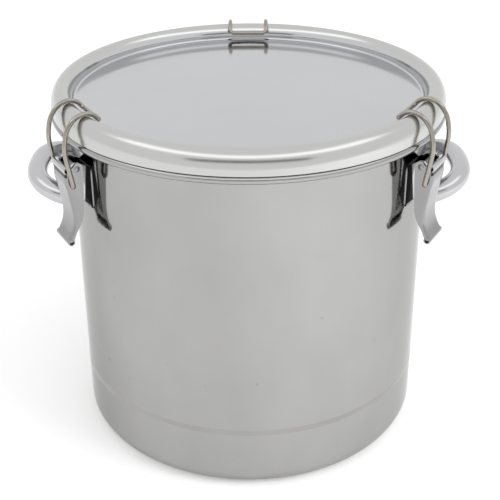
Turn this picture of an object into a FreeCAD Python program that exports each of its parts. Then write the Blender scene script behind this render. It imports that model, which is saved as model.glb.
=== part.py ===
import FreeCAD, Part
import math
import os

# A sealed stainless milk can: a welded body with two loop handles, and a recessed lid that three
# over-centre wire clips hold down. Millimetres, +Z up. The origin is the centre of the base's
# underside, and -Y is the front.

# Can body
BODY_R = 151.0              # outside radius of the wall
CAN_HEIGHT = 294.8          # top of the flat flange round the mouth
SHEET = 1.0                 # thickness of the body's sheet
BASE_CORNER_R = 17.0        # outside radius where the base turns up
SEAM_Z = 58.0               # weld between the pressed bottom dish and the barrel
FLANGE_BEND_R = 2.5         # inside radius of the bend under the flange
RIM_OUT = 14.3              # how far the rolled rim stands out from the wall
RIM_ROLL_R = 3.1            # outside radius of the roll itself
RIM_ROLL_TURN = 240.0       # how far the roll curls, degrees

# Lid: the bead straddles the flange, and the panel lies just above the mouth
LID_SHEET = 1.0
LID_GAP = 0.3               # above the flange, under the skirt and under the gasket
PANEL_UP = 6.0              # top of the flat panel above the flange
PANEL_FILLET_R = 2.0        # inside corner between the panel and the bead
BEAD_IN = 4.4               # where the bead rises from the panel, inward from the wall
BEAD_CREST_OUT = 3.6        # crest of the bead, outward from the wall
BEAD_CREST_UP = 18.8        # crest of the bead above the flange
BEAD_SHOULDER_UP = 5.3      # where the bead's outer side turns vertical, above the flange
SKIRT_INSET = 1.0           # the skirt stands inside the rolled rim by this much

# Gasket
GASKET_GAP = 0.2            # between the gasket and the lid's channel
GASKET_HOLLOW_R = 3.6
GASKET_HOLLOW_UP = 8.8      # centre of the hollow above the flange
GASKET_FOOT_OUT = 0.5       # inner edge of the gasket's flat foot, outward from the wall

# Loop handles
HANDLE_TUBE_R = 8.5
HANDLE_WALL = 1.5
HANDLE_OUT = 31.3           # wall to the centreline of the handle's bar
HANDLE_HALF_WIDTH = 44.5    # handle's middle to the centreline of a leg
HANDLE_BEND_R = 31.0
HANDLE_DOWN = 69.8          # flange's top to the tube's centreline at the wall
HANDLE_TILT = 18.5          # rise of the loop, degrees

# Clips
CLIP_ANGLES = {"left": 210.0, "right": 330.0, "rear": 90.0}
LEVER_HALF_WIDTH = 13.5     # middle of the clip to the flanges' outer faces
LEVER_SHEET = 1.2
LEVER_TOP_ROLL_R = 2.6      # outside radius of the roll at the lever's top
LEVER_END_ROLL_R = 2.8      # and of the roll at its lower end
LEVER_END_LEAN = 28.7       # from the end roll's centre to the web's end, degrees
LEVER_BOSS_WALL = 3.0       # flange left round the pin
PIN_R = 2.0
PIN_FIT = 0.05              # radial clearance of the pin in the ears and the lever
PIN_HEAD_WALL = 0.9         # how far a head stands out past the pin, and how thick it is
PIN_HEAD_GAP = 0.2          # between a head and the lever's flange
EAR_GAP = 0.5               # between an ear and the lever's flange
EAR_SHEET = 2.0
EAR_BOSS_WALL = 2.6         # ear left round the pin
PAD_SHEET = 1.5             # thickness of the bracket's welded pad
PAD_TOP_DOWN = 26.3         # flange's top down to the pad's top edge
PAD_FOOT_DOWN = 61.3        # and to its lower edge
WIRE_R = 1.9
WIRE_HOLE_FIT = 0.15        # radial clearance of the wire in the lever
BAIL_SIDE_GAP = 1.6         # between an arm and the lever's flange
BAIL_STUB_PAST = 2.0        # how far the turned-in ends stand past the flange's inner face
BAIL_HOOK_BEND_R = 4.0      # bend between an arm and the crossbar
BAIL_HOOK_GAP = 3.2         # between the crossbar and the bead's inner side
BAIL_HOOK_UP = 5.4          # between the crossbar and the panel
BEND_SHARE = 0.45           # share of the shorter run that a bend of an arm takes

BLANK_DEPTH = 3.0           # how far a bracket's outline runs inside the wall before it is coped
CUT_PAST = 1.0              # how far a cutting tool runs past what it cuts

# Places that follow from those sizes
RIM_R = BODY_R + RIM_OUT
SKIRT_R = RIM_R - SKIRT_INSET
PANEL_Z = CAN_HEIGHT + PANEL_UP
BEAD_INNER_R = BODY_R - BEAD_IN
BEAD_CREST = (BODY_R + BEAD_CREST_OUT, CAN_HEIGHT + BEAD_CREST_UP)
BEAD_SHOULDER_Z = CAN_HEIGHT + BEAD_SHOULDER_UP
EAR_HALF_WIDTH = LEVER_HALF_WIDTH - LEVER_SHEET - EAR_GAP
LEVER_BOSS_R = PIN_R + LEVER_BOSS_WALL
EAR_BOSS_R = PIN_R + EAR_BOSS_WALL
BAIL_HALF_WIDTH = LEVER_HALF_WIDTH + BAIL_SIDE_GAP + WIRE_R
BAIL_END_BEND_R = 0.9 * (BAIL_SIDE_GAP + WIRE_R)


def by_wall(out, down):
    """Radius and height of a point out from the wall and down from the flange's top."""
    return (BODY_R + out, CAN_HEIGHT - down)


def by_crest(out, up):
    """Radius and height of a point out from the bead's crest and up from a wire lying on it."""
    return (BEAD_CREST[0] + out, BEAD_CREST[1] + WIRE_R + up)


PIVOT = by_wall(11.5, 24.3)             # lever pin
BAIL_PIVOT = by_wall(16.3, 38.0)        # the bail's turned-in ends
EAR_CHIN = by_wall(7.0, 52.8)           # lower outer corner of an ear
LEVER_TOP_ROLL = by_wall(19.4, 24.5)
LEVER_END_ROLL = by_wall(21.0, 86.8)
# Outer face of the lever's web between its two rolls, from the top down
LEVER_WEB = [by_wall(21.9, 31.8), by_wall(20.1, 42.3), by_wall(18.6, 51.8), by_wall(17.2, 61.8),
             by_wall(17.0, 68.3), by_wall(18.2, 75.3), by_wall(20.7, 81.0)]
# Back edge of a lever's flange, from its low tip up to the boss
LEVER_BACK = [by_wall(15.3, 77.8), by_wall(10.6, 69.8), by_wall(8.2, 58.8), by_wall(7.4, 46.8),
              by_wall(6.7, 34.8)]
# Corners of a bail's arm between its pivot and the crossbar
BAIL_ARM = [by_wall(19.2, 22.3), by_wall(21.9, 5.3), by_crest(15.3, -11.0), by_crest(8.2, -2.1),
            by_crest(-0.6, 0.8), by_crest(-8.4, -1.7)]
BAIL_HOOK = (BEAD_INNER_R - BAIL_HOOK_GAP - WIRE_R, PANEL_Z + BAIL_HOOK_UP + WIRE_R)


def vec(x, y, z):
    return FreeCAD.Vector(x, y, z)


def upright(point, y=0.0):
    """A (radius, height) point as a vector, y to the side."""
    return vec(point[0], y, point[1])


def polar(centre, radius, degrees):
    """A (radius, height) point at a distance and direction from another."""
    a = math.radians(degrees)
    return (centre[0] + radius * math.cos(a), centre[1] + radius * math.sin(a))


def line(a, b):
    return Part.LineSegment(a, b).toShape()


def arc(centre, radius, start, end):
    """Arc in the XZ plane between two directions in degrees, through the one halfway between."""
    stops = [upright(polar(centre, radius, turn)) for turn in (start, 0.5 * (start + end), end)]
    return Part.Arc(stops[0], stops[1], stops[2]).toShape()


def quarter(centre, half_r, half_z, side):
    """Quarter ellipse in the XZ plane, from its top down to side +1 (outward) or -1 (inward)."""
    top = upright((centre[0], centre[1] + half_z))
    flank = upright((centre[0] + side * half_r, centre[1]))
    ends = (top, flank) if half_z > half_r else (flank, top)
    ellipse = Part.Ellipse(ends[0], ends[1], upright(centre))
    return Part.ArcOfEllipse(ellipse, 0, math.pi / 2).toShape()


def polyline(points):
    corners = [upright(p) for p in points]
    return [line(a, b) for a, b in zip(corners, corners[1:])]


def section(edges):
    """Face inside a closed outline in the XZ plane."""
    return Part.Face(Part.Wire(Part.__sortEdges__(edges)))


def revolve(edges):
    """Full turn about the can's axis of a closed outline in the XZ plane."""
    return section(edges).revolve(vec(0, 0, 0), vec(0, 0, 1), 360)


def slab(edges, y_low, y_high):
    """Closed outline in the XZ plane, extruded from y_low to y_high."""
    face = section(edges)
    face.translate(vec(0, y_low, 0))
    return face.extrude(vec(0, y_high - y_low, 0))


def rod(centre, radius, y_low, y_high):
    """Round bar along Y at a (radius, height) point."""
    return Part.makeCylinder(radius, y_high - y_low, upright(centre, y_low), vec(0, 1, 0))


def bore(centre, radius):
    """Cutter for a hole right through a clip."""
    reach = LEVER_HALF_WIDTH + CUT_PAST
    return rod(centre, radius, -reach, reach)


def body_core():
    """Everything inside the wall's outer face, which copes what is welded to it."""
    return Part.makeCylinder(BODY_R, CAN_HEIGHT)


def both_sides(shape):
    """A shape and its mirror image across the clip's own upright plane."""
    return [shape, shape.mirror(vec(0, 0, 0), vec(0, 1, 0))]


def turned(shape, degrees):
    """A copy of a shape built at azimuth 0, turned about the can's axis."""
    copy = shape.copy()
    copy.rotate(vec(0, 0, 0), vec(0, 0, 1), degrees)
    return copy


# ---- can body ----

def bottom_dish():
    """Pressed base: a flat floor, a rounded corner and a short straight wall up to the seam."""
    flat = BODY_R - BASE_CORNER_R
    inner_r = BODY_R - SHEET
    corner = (flat, BASE_CORNER_R)
    edges = polyline([(flat, SHEET), (0, SHEET), (0, 0), (flat, 0)])
    edges.append(arc(corner, BASE_CORNER_R, -90, 0))
    edges += polyline([(BODY_R, BASE_CORNER_R), (BODY_R, SEAM_Z), (inner_r, SEAM_Z),
                       (inner_r, BASE_CORNER_R)])
    edges.append(arc(corner, BASE_CORNER_R - SHEET, 0, -90))
    return revolve(edges)


def barrel():
    """Wall whose top turns out into a flat flange with a rolled edge."""
    bend = (BODY_R + FLANGE_BEND_R, CAN_HEIGHT - SHEET - FLANGE_BEND_R)
    roll = (RIM_R - RIM_ROLL_R, CAN_HEIGHT - RIM_ROLL_R)
    roll_end = 90 - RIM_ROLL_TURN
    under = CAN_HEIGHT - SHEET
    edges = polyline([(BODY_R - SHEET, bend[1]), (BODY_R - SHEET, SEAM_Z), (BODY_R, SEAM_Z),
                      (BODY_R, bend[1])])
    edges.append(arc(bend, FLANGE_BEND_R, 180, 90))
    edges += polyline([(bend[0], under), (roll[0], under)])
    edges.append(arc(roll, RIM_ROLL_R - SHEET, 90, roll_end))
    edges += polyline([polar(roll, RIM_ROLL_R - SHEET, roll_end), polar(roll, RIM_ROLL_R, roll_end)])
    edges.append(arc(roll, RIM_ROLL_R, roll_end, 90))
    edges += polyline([(roll[0], CAN_HEIGHT), (bend[0], CAN_HEIGHT)])
    edges.append(arc(bend, FLANGE_BEND_R + SHEET, 90, 180))
    return revolve(edges)


# ---- lid ----

def bead_side(inset, side):
    """One side of the lid's bead, inset from its outer face: -1 is the panel's side."""
    if side < 0:
        shoulder = PANEL_Z + PANEL_FILLET_R
        reach = BEAD_CREST[0] - BEAD_INNER_R
    else:
        shoulder = BEAD_SHOULDER_Z
        reach = SKIRT_R - BEAD_CREST[0]
    height = BEAD_CREST[1] - shoulder
    return quarter((BEAD_CREST[0], shoulder), reach - inset, height - inset, side)


def lid():
    """One pressing: a flat recessed panel, a tall rounded bead and a short skirt."""
    panel_r = BEAD_INNER_R - PANEL_FILLET_R
    corner = (panel_r, PANEL_Z + PANEL_FILLET_R)
    skirt_end = CAN_HEIGHT + LID_GAP
    skirt_in = SKIRT_R - LID_SHEET
    under = PANEL_Z - LID_SHEET
    edges = polyline([(panel_r, under), (0, under), (0, PANEL_Z), (panel_r, PANEL_Z)])
    edges.append(arc(corner, PANEL_FILLET_R, -90, 0))
    edges += [bead_side(0, -1), bead_side(0, 1)]
    edges += polyline([(SKIRT_R, BEAD_SHOULDER_Z), (SKIRT_R, skirt_end), (skirt_in, skirt_end),
                       (skirt_in, BEAD_SHOULDER_Z)])
    edges += [bead_side(LID_SHEET, 1), bead_side(LID_SHEET, -1)]
    edges.append(arc(corner, PANEL_FILLET_R + LID_SHEET, 0, -90))
    return revolve(edges)


def gasket():
    """Hollow silicone ring that fills the lid's bead and seats on the flange."""
    inset = LID_SHEET + GASKET_GAP
    foot_z = CAN_HEIGHT + LID_GAP
    outer = SKIRT_R - inset
    inner = BEAD_INNER_R + inset
    edges = [bead_side(inset, -1), bead_side(inset, 1)]
    edges += polyline([(outer, BEAD_SHOULDER_Z), (outer, foot_z), (BODY_R + GASKET_FOOT_OUT, foot_z),
                       (inner, PANEL_Z), (inner, PANEL_Z + PANEL_FILLET_R)])
    centre = vec(0, 0, CAN_HEIGHT + GASKET_HOLLOW_UP)
    hollow = Part.makeTorus(BEAD_CREST[0], GASKET_HOLLOW_R, centre, vec(0, 0, 1))
    return revolve(edges).cut(hollow)


# ---- handles ----

def swept(route, radius):
    """Round tube or wire along a route, square to its first edge."""
    first = route.OrderedEdges[0]
    start = route.OrderedVertexes[0].Point
    ring = Part.makeCircle(radius, start, first.tangentAt(first.FirstParameter))
    return route.makePipeShell([Part.Wire(ring)], True, True)


def handle_route():
    """Centreline of a handle, from inside the wall out and back, in a plane that rises outward."""
    rise = math.tan(math.radians(HANDLE_TILT))

    def at(out, y):
        return vec(BODY_R + out, y, CAN_HEIGHT - HANDLE_DOWN + out * rise)

    half = HANDLE_HALF_WIDTH
    straight = HANDLE_OUT - HANDLE_BEND_R
    to_bar = half - HANDLE_BEND_R
    out_45 = straight + HANDLE_BEND_R * math.sin(math.pi / 4)
    y_45 = to_bar + HANDLE_BEND_R * math.cos(math.pi / 4)
    root = -2 * HANDLE_TUBE_R
    return Part.Wire([
        line(at(root, -half), at(straight, -half)),
        Part.Arc(at(straight, -half), at(out_45, -y_45), at(HANDLE_OUT, -to_bar)).toShape(),
        line(at(HANDLE_OUT, -to_bar), at(HANDLE_OUT, to_bar)),
        Part.Arc(at(HANDLE_OUT, to_bar), at(out_45, y_45), at(straight, half)).toShape(),
        line(at(straight, half), at(root, half)),
    ])


def handle():
    """Bent tube whose two legs are coped to the wall."""
    route = handle_route()
    tube = swept(route, HANDLE_TUBE_R).cut(swept(route, HANDLE_TUBE_R - HANDLE_WALL))
    return tube.cut(body_core())


# ---- clips, built at azimuth 0 ----

def tangent_point(outside, centre, radius, side):
    """Where a line from a point outside a circle touches it: +1 or -1 picks the touch."""
    dx = centre[0] - outside[0]
    dz = centre[1] - outside[1]
    swing = math.atan2(dz, dx) + side * math.acos(radius / math.hypot(dx, dz)) + math.pi
    return polar(centre, radius, math.degrees(swing))


def bracket():
    """Welded pad with two ears that carry the lever's pin."""
    root_r = BODY_R - BLANK_DEPTH
    foot_z = CAN_HEIGHT - PAD_FOOT_DOWN
    top = (root_r, CAN_HEIGHT - PAD_TOP_DOWN)
    lower = tangent_point(EAR_CHIN, PIVOT, EAR_BOSS_R, 1)
    upper = tangent_point(top, PIVOT, EAR_BOSS_R, -1)
    outline = polyline([(root_r, foot_z), EAR_CHIN, lower, PIVOT, upper, top, (root_r, foot_z)])
    inner_y = EAR_HALF_WIDTH - EAR_SHEET
    ear = slab(outline, inner_y, EAR_HALF_WIDTH).fuse(rod(PIVOT, EAR_BOSS_R, inner_y, EAR_HALF_WIDTH))
    pad = Part.makeBox(BLANK_DEPTH + PAD_SHEET, 2 * EAR_HALF_WIDTH, PAD_FOOT_DOWN - PAD_TOP_DOWN,
                       vec(root_r, -EAR_HALF_WIDTH, foot_z))
    pad = pad.common(Part.makeCylinder(BODY_R + PAD_SHEET, CAN_HEIGHT))
    whole = pad.multiFuse(both_sides(ear)).cut(body_core())
    return whole.cut(bore(PIVOT, PIN_R + PIN_FIT)).removeSplitter()


def lever_pin():
    """Rivet through the ears and the lever's flanges, with a low head at each end."""
    head_y = LEVER_HALF_WIDTH + PIN_HEAD_GAP
    end_y = head_y + PIN_HEAD_WALL
    heads = both_sides(rod(PIVOT, PIN_R + PIN_HEAD_WALL, head_y, end_y))
    return rod(PIVOT, PIN_R, -end_y, end_y).multiFuse(heads).removeSplitter()


def web_curve(inset):
    """The web's face between its rolls, inset from the outer face towards the body."""
    top = polar(LEVER_TOP_ROLL, LEVER_TOP_ROLL_R, 0)
    end = polar(LEVER_END_ROLL, LEVER_END_ROLL_R, LEVER_END_LEAN)
    outer = Part.BSplineCurve()
    outer.interpolate([upright(p) for p in [top] + LEVER_WEB + [end]])
    span = outer.LastParameter - outer.FirstParameter
    steps = 4 * len(LEVER_WEB)
    points = []
    for step in range(steps + 1):
        at = outer.FirstParameter + span * step / steps
        along = outer.tangent(at)[0]
        points.append(outer.value(at) + vec(along.z, 0, -along.x) * inset)
    curve = Part.BSplineCurve()
    curve.interpolate(points)
    return curve


def lever_web():
    """Curved face of the lever, rolled over at both ends."""
    outer = web_curve(0)
    inner = web_curve(LEVER_SHEET)
    edges = [outer.toShape(), inner.toShape(), line(outer.StartPoint, inner.StartPoint),
             line(outer.EndPoint, inner.EndPoint)]
    half = LEVER_HALF_WIDTH
    whole = slab(edges, -half, half)
    for centre, radius in ((LEVER_TOP_ROLL, LEVER_TOP_ROLL_R), (LEVER_END_ROLL, LEVER_END_ROLL_R)):
        whole = whole.fuse(rod(centre, radius, -half, half)).cut(bore(centre, radius - LEVER_SHEET))
    return whole


def lever_flange():
    """Crescent side plate with a boss round the pin."""
    web = web_curve(0.5 * LEVER_SHEET)
    heel = polar(PIVOT, LEVER_BOSS_R, 180)
    crown = polar(PIVOT, LEVER_BOSS_R, 90)
    back = Part.BSplineCurve()
    back.interpolate([web.EndPoint] + [upright(p) for p in LEVER_BACK] + [upright(heel)])
    edges = [back.toShape(), arc(PIVOT, LEVER_BOSS_R, 180, 90), line(upright(crown), web.StartPoint),
             web.toShape()]
    plate = slab(edges, LEVER_HALF_WIDTH - LEVER_SHEET, LEVER_HALF_WIDTH)
    plate = plate.cut(bore(LEVER_TOP_ROLL, LEVER_TOP_ROLL_R - LEVER_SHEET))
    return plate.cut(bore(LEVER_END_ROLL, LEVER_END_ROLL_R - LEVER_SHEET))


def lever():
    """Stamped channel: a curved web between two crescent flanges."""
    whole = lever_web().multiFuse(both_sides(lever_flange()))
    return whole.cut(bore(PIVOT, PIN_R + PIN_FIT)).cut(bore(BAIL_PIVOT, WIRE_R + WIRE_HOLE_FIT))


def bent_route(points, fixed):
    """Straight runs joined by tangent arcs; fixed gives the bend radius at some corners."""
    edges = []
    start = points[0]
    for i in range(1, len(points) - 1):
        back = points[i - 1] - points[i]
        ahead = points[i + 1] - points[i]
        half_turn = 0.5 * (math.pi - back.getAngle(ahead))
        share = BEND_SHARE * min(back.Length, ahead.Length)
        radius = fixed.get(i, share / math.tan(half_turn))
        trim = radius * math.tan(half_turn)
        back.normalize()
        ahead.normalize()
        first = points[i] + back * trim
        last = points[i] + ahead * trim
        inward = (back + ahead).normalize()
        middle = points[i] + inward * (radius / math.cos(half_turn) - radius)
        edges += [line(start, first), Part.Arc(first, middle, last).toShape()]
        start = last
    edges.append(line(start, points[-1]))
    return Part.Wire(edges)


def bail():
    """One spring wire: turned-in ends, two bowed arms and a crossbar behind the bead."""
    near = [upright(p, -BAIL_HALF_WIDTH) for p in [BAIL_PIVOT] + BAIL_ARM + [BAIL_HOOK]]
    far = [vec(p.x, -p.y, p.z) for p in reversed(near)]
    stub_y = LEVER_HALF_WIDTH - LEVER_SHEET - BAIL_STUB_PAST
    points = [upright(BAIL_PIVOT, -stub_y)] + near + far + [upright(BAIL_PIVOT, stub_y)]
    hook = len(near)
    fixed = {1: BAIL_END_BEND_R, hook: BAIL_HOOK_BEND_R, hook + 1: BAIL_HOOK_BEND_R,
             len(points) - 2: BAIL_END_BEND_R}
    return swept(bent_route(points, fixed), WIRE_R)


# ---- whole can ----

def all_nodes():
    nodes = {
        "bottom_dish": bottom_dish(),
        "barrel": barrel(),
        "lid": lid(),
        "lid_gasket": gasket(),
        "left_handle": turned(handle(), 180),
        "right_handle": handle(),
    }
    pieces = {"bracket": bracket(), "lever_pin": lever_pin(), "lever": lever(), "bail": bail()}
    for where, degrees in CLIP_ANGLES.items():
        for name, shape in pieces.items():
            nodes[where + "_" + name] = turned(shape, degrees)
    return nodes


os.makedirs("parts", exist_ok=True)
for node, shape in all_nodes().items():
    shape.exportStep("parts/" + node + ".step")
    print(node, shape.isValid(), len(shape.Solids), "solid", round(shape.Volume, 1), "mm3")
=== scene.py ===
# A sealed stainless milk can: a welded body, a pressed lid on a hollow gasket, two loop handles
# and three over-centre wire clips. The sections follow the can as it is put together.

import math

import bpy
import numpy as np
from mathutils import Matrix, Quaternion, Vector


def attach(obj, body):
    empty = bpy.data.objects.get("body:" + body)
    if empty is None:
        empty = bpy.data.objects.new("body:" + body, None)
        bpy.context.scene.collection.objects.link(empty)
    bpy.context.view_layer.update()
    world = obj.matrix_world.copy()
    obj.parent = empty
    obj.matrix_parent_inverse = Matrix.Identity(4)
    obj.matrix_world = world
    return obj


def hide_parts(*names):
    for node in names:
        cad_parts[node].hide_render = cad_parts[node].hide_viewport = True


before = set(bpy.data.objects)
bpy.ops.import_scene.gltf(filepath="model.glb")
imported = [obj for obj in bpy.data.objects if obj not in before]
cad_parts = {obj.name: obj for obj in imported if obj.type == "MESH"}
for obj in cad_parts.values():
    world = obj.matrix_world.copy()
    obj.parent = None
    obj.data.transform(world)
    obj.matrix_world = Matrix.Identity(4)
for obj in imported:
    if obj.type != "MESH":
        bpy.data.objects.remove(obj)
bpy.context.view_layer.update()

MM = 0.001                  # the sizes below are millimetres

# ---- bottom dish ----
# The base is one stainless pressing: a flat floor, a rounded corner and a short straight wall.
# It is welded to the barrel's lower edge and dressed smooth. Its finish is the barrel's too.

BODY_R = 151.0
SHEET = 1.0
BASE_CORNER_R = 17.0
SEAM_Z = 58.0
AROUND = 384                # steps round a full turn about the can's axis
EDGE_ANGLE = math.radians(38)


def arc(centre, radius, start, end, steps):
    """Points (r, z) at centre plus radius times the cosine and sine of even angles, in degrees."""
    turn = np.radians(np.linspace(start, end, steps))
    return np.column_stack([centre[0] + radius * np.cos(turn), centre[1] + radius * np.sin(turn)])


def run(start, end, steps):
    """Evenly spaced points on a straight line, without its last point."""
    share = np.linspace(0, 1, steps, endpoint=False)[:, None]
    return (1 - share) * np.array(start, float) + share * np.array(end, float)


def skin(rows, ends=None):
    """Faces over rows of points where each row is a closed ring.

    Row i, column j joins row i+1 and column j+1. Without ends the last row joins the first;
    "flat" closes both end rows with one face each; two points close them with fans.
    The faces are turned over if the volume they enclose about their middle comes out negative.
    """
    count, width = rows.shape[:2]
    points = rows.reshape(-1, 3)
    i = np.arange(count if ends is None else count - 1)[:, None]
    j = np.arange(width)[None, :]
    below, beside = (i + 1) % count * width, (j + 1) % width
    quads = np.stack([i * width + j, below + j, below + beside, i * width + beside], axis=-1)
    quads = quads.reshape(-1, 4)
    p = (points - points.mean(axis=0))[quads]
    halves = ((0, 1, 2), (0, 2, 3))
    volume = sum(np.einsum("ij,ij->", p[:, a], np.cross(p[:, b], p[:, c])) for a, b, c in halves)
    faces = quads.tolist()
    ring = np.arange(width)
    last = (count - 1) * width
    if isinstance(ends, str):
        faces += [ring.tolist(), (last + ring)[::-1].tolist()]
    elif ends is not None:
        poles = len(points) + np.arange(2)
        points = np.vstack([points, ends])
        first_fan = np.column_stack([ring, np.roll(ring, -1), np.full(width, poles[0])])
        last_fan = np.column_stack([last + np.roll(ring, -1), last + ring, np.full(width, poles[1])])
        faces += first_fan.tolist() + last_fan.tolist()
    if volume < 0:
        faces = [face[::-1] for face in faces]
    return points, faces


def lathed(profile, ends=None):
    """Each (r, z) of the profile carried round the can's axis: (r cos a, r sin a, z)."""
    turn = np.linspace(0, 2 * np.pi, AROUND, endpoint=False)
    radius = profile[:, 0][:, None]
    rows = np.stack([radius * np.cos(turn), radius * np.sin(turn),
                     np.repeat(profile[:, 1][:, None], AROUND, axis=1)], axis=-1)
    poles = None if ends is None else [(0, 0, z) for z in ends]
    return skin(rows, poles)


def piece(name, shapes, node, body, material):
    """Object made of one or more skins, standing for a CAD node and riding on its body."""
    points, faces, count = [], [], 0
    for shape_points, shape_faces in shapes:
        points.append(shape_points)
        faces += [[index + count for index in face] for face in shape_faces]
        count += len(shape_points)
    mesh = bpy.data.meshes.new(name)
    mesh.from_pydata((np.vstack(points) * MM).tolist(), [], faces)
    mesh.shade_smooth()
    mesh.set_sharp_from_angle(angle=EDGE_ANGLE)
    mesh.materials.append(material)
    mesh.validate()
    made = bpy.data.objects.new(name, mesh)
    bpy.context.scene.collection.objects.link(made)
    if node:
        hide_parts(node)
    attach(made, body)


class Nodes:
    """A node tree, filled by name: each call adds a node and links or sets its inputs."""

    def __init__(self, tree):
        self.tree = tree

    def add(self, kind, links=None, values=None, **settings):
        node = self.tree.nodes.new(kind)
        for key, value in settings.items():
            setattr(node, key, value)
        for key, value in (values or {}).items():
            node.inputs[key].default_value = value
        for key, source in (links or {}).items():
            self.tree.links.new(source, node.inputs[key])
        return node


class Finish(Nodes):
    """A material and its shader."""

    def __init__(self, name):
        self.material = bpy.data.materials.new(name)
        self.material.use_nodes = True
        super().__init__(self.material.node_tree)
        self.shader = self.tree.nodes["Principled BSDF"]

    def to_shader(self, socket, source):
        self.tree.links.new(source, self.shader.inputs[socket])


def arithmetic(nodes, operation, *terms):
    """One step of arithmetic on sockets and numbers."""
    node = nodes.add("ShaderNodeMath", operation=operation)
    for index, term in enumerate(terms):
        if isinstance(term, (int, float)):
            node.inputs[index].default_value = term
        else:
            nodes.tree.links.new(term, node.inputs[index])
    return node.outputs["Value"]


def remap(nodes, source, low, high, first, last, **settings):
    """A value from low to high carried to first to last, and held there beyond them."""
    ends = {"From Min": low, "From Max": high, "To Min": first, "To Max": last}
    return nodes.add("ShaderNodeMapRange", {"Value": source}, ends, **settings).outputs["Result"]


def own_place(nodes):
    """A point of the piece in the piece's own coordinates."""
    return nodes.add("ShaderNodeTexCoord").outputs["Object"]


def height(nodes):
    """How high a point is above the ground."""
    return nodes.add("ShaderNodeSeparateXYZ", {"Vector": own_place(nodes)}).outputs["Z"]


def axis_distance(nodes):
    """How far a point is from the can's axis: the length of (x, y, 0)."""
    level = nodes.add("ShaderNodeVectorMath", {0: own_place(nodes)}, {1: (1, 1, 0)},
                      operation="MULTIPLY")
    return nodes.add("ShaderNodeVectorMath", {0: level.outputs["Vector"]},
                     operation="LENGTH").outputs["Value"]


def stretched(nodes, scale, detail=4.0):
    """Noise on the piece's own coordinates, stretched by a different scale along each axis."""
    mapped = nodes.add("ShaderNodeMapping", {"Vector": own_place(nodes)}, {"Scale": scale})
    return nodes.add("ShaderNodeTexNoise", {"Vector": mapped.outputs["Vector"]},
                     {"Scale": 1.0, "Detail": detail, "Roughness": 0.55}).outputs["Fac"]


def rings(nodes, scale):
    """Noise on the distance from the can's axis, so that its lines run in circles."""
    spread = nodes.add("ShaderNodeCombineXYZ", {"X": axis_distance(nodes)})
    return nodes.add("ShaderNodeTexNoise", {"Vector": spread.outputs["Vector"]},
                     {"Scale": scale, "Detail": 4.0, "Roughness": 0.55}).outputs["Fac"]


def ranged(nodes, noise, low, high):
    """The middle of a noise, 0.3 to 0.7, carried to the range low to high."""
    return remap(nodes, noise, 0.3, 0.7, low, high)


def steel(name, light, dark, smooth, rough, lines, depth, patch=14.0, more=None, edge=1.0):
    """Stainless steel: two tones in soft patches, uneven polish, and fine lines from the mop.

    more() may change the tone, and edge dims the reflection along the piece's outline.
    """
    nodes = Finish(name)
    patches = stretched(nodes, (patch, patch, 0.6 * patch))
    tone = nodes.add("ShaderNodeMix", {"Factor": ranged(nodes, patches, 0.0, 1.0)},
                     data_type="RGBA")
    tone.inputs[6].default_value = (*dark, 1)
    tone.inputs[7].default_value = (*light, 1)
    haze = stretched(nodes, (1.7 * patch, 1.7 * patch, 1.2 * patch))
    nodes.to_shader("Roughness", ranged(nodes, haze, smooth, rough))
    nodes.shader.inputs["Metallic"].default_value = 1.0
    nodes.shader.inputs["Specular Tint"].default_value = (edge, edge, edge, 1)
    grain = rings(nodes, lines) if isinstance(lines, float) else stretched(nodes, lines)
    bump = nodes.add("ShaderNodeBump", {"Height": grain}, {"Strength": depth, "Distance": 0.0004})
    nodes.to_shader("Normal", bump.outputs["Normal"])
    colour = tone.outputs[2] if more is None else more(nodes, tone.outputs[2])
    nodes.to_shader("Base Color", colour)
    return nodes.material


def tinted(nodes, colour, factor, tint):
    """A colour carried towards a tint by a factor."""
    mix = nodes.add("ShaderNodeMix", {"Factor": factor, 6: colour}, data_type="RGBA")
    mix.inputs[7].default_value = (*tint, 1)
    return mix.outputs[2]


SMUDGE = (0.38, 0.365, 0.34)
SPECK = (0.20, 0.18, 0.15)
FOOT_TONE = (0.25, 0.22, 0.185)
FOOT_FULL_Z = 2.0             # the foot is darker and browner, in patches, at full strength up to here
FOOT_CLEAR_Z = 16.0            # and not at all from here
INSIDE_TONE = (0.78, 0.78, 0.77)
INSIDE_METAL = 0.4          # the inner faces are dull
INSIDE_MIDDLE = 150.0       # a height that every inner face looks towards


def handled(nodes, colour):
    """Brown smudges where the can was handled, small specks, a foot darker and browner in patches, a
    dull inside.
    """
    smudge = stretched(nodes, (16.0, 16.0, 30.0), 6.0)
    colour = tinted(nodes, colour, remap(nodes, smudge, 0.56, 0.78, 0.0, 0.45), SMUDGE)
    speck = stretched(nodes, (95.0, 95.0, 95.0), 2.0)
    colour = tinted(nodes, colour, remap(nodes, speck, 0.735, 0.80, 0.0, 0.8), SPECK)
    # Darker and browner in patches towards the foot.
    low = remap(nodes, height(nodes), FOOT_FULL_Z * MM, FOOT_CLEAR_Z * MM, 1.0, 0.0)
    foot_patches = ranged(nodes, stretched(nodes, (34.0, 34.0, 90.0), 5.0), -0.3, 1.0)
    foot = arithmetic(nodes, "MAXIMUM", arithmetic(nodes, "MULTIPLY", low, foot_patches), 0.0)
    colour = tinted(nodes, colour, foot, FOOT_TONE)
    inner = inside(nodes)
    nodes.to_shader("Metallic", arithmetic(nodes, "MULTIPLY_ADD", inner, INSIDE_METAL - 1.0, 1.0))
    return tinted(nodes, colour, inner, INSIDE_TONE)


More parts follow.
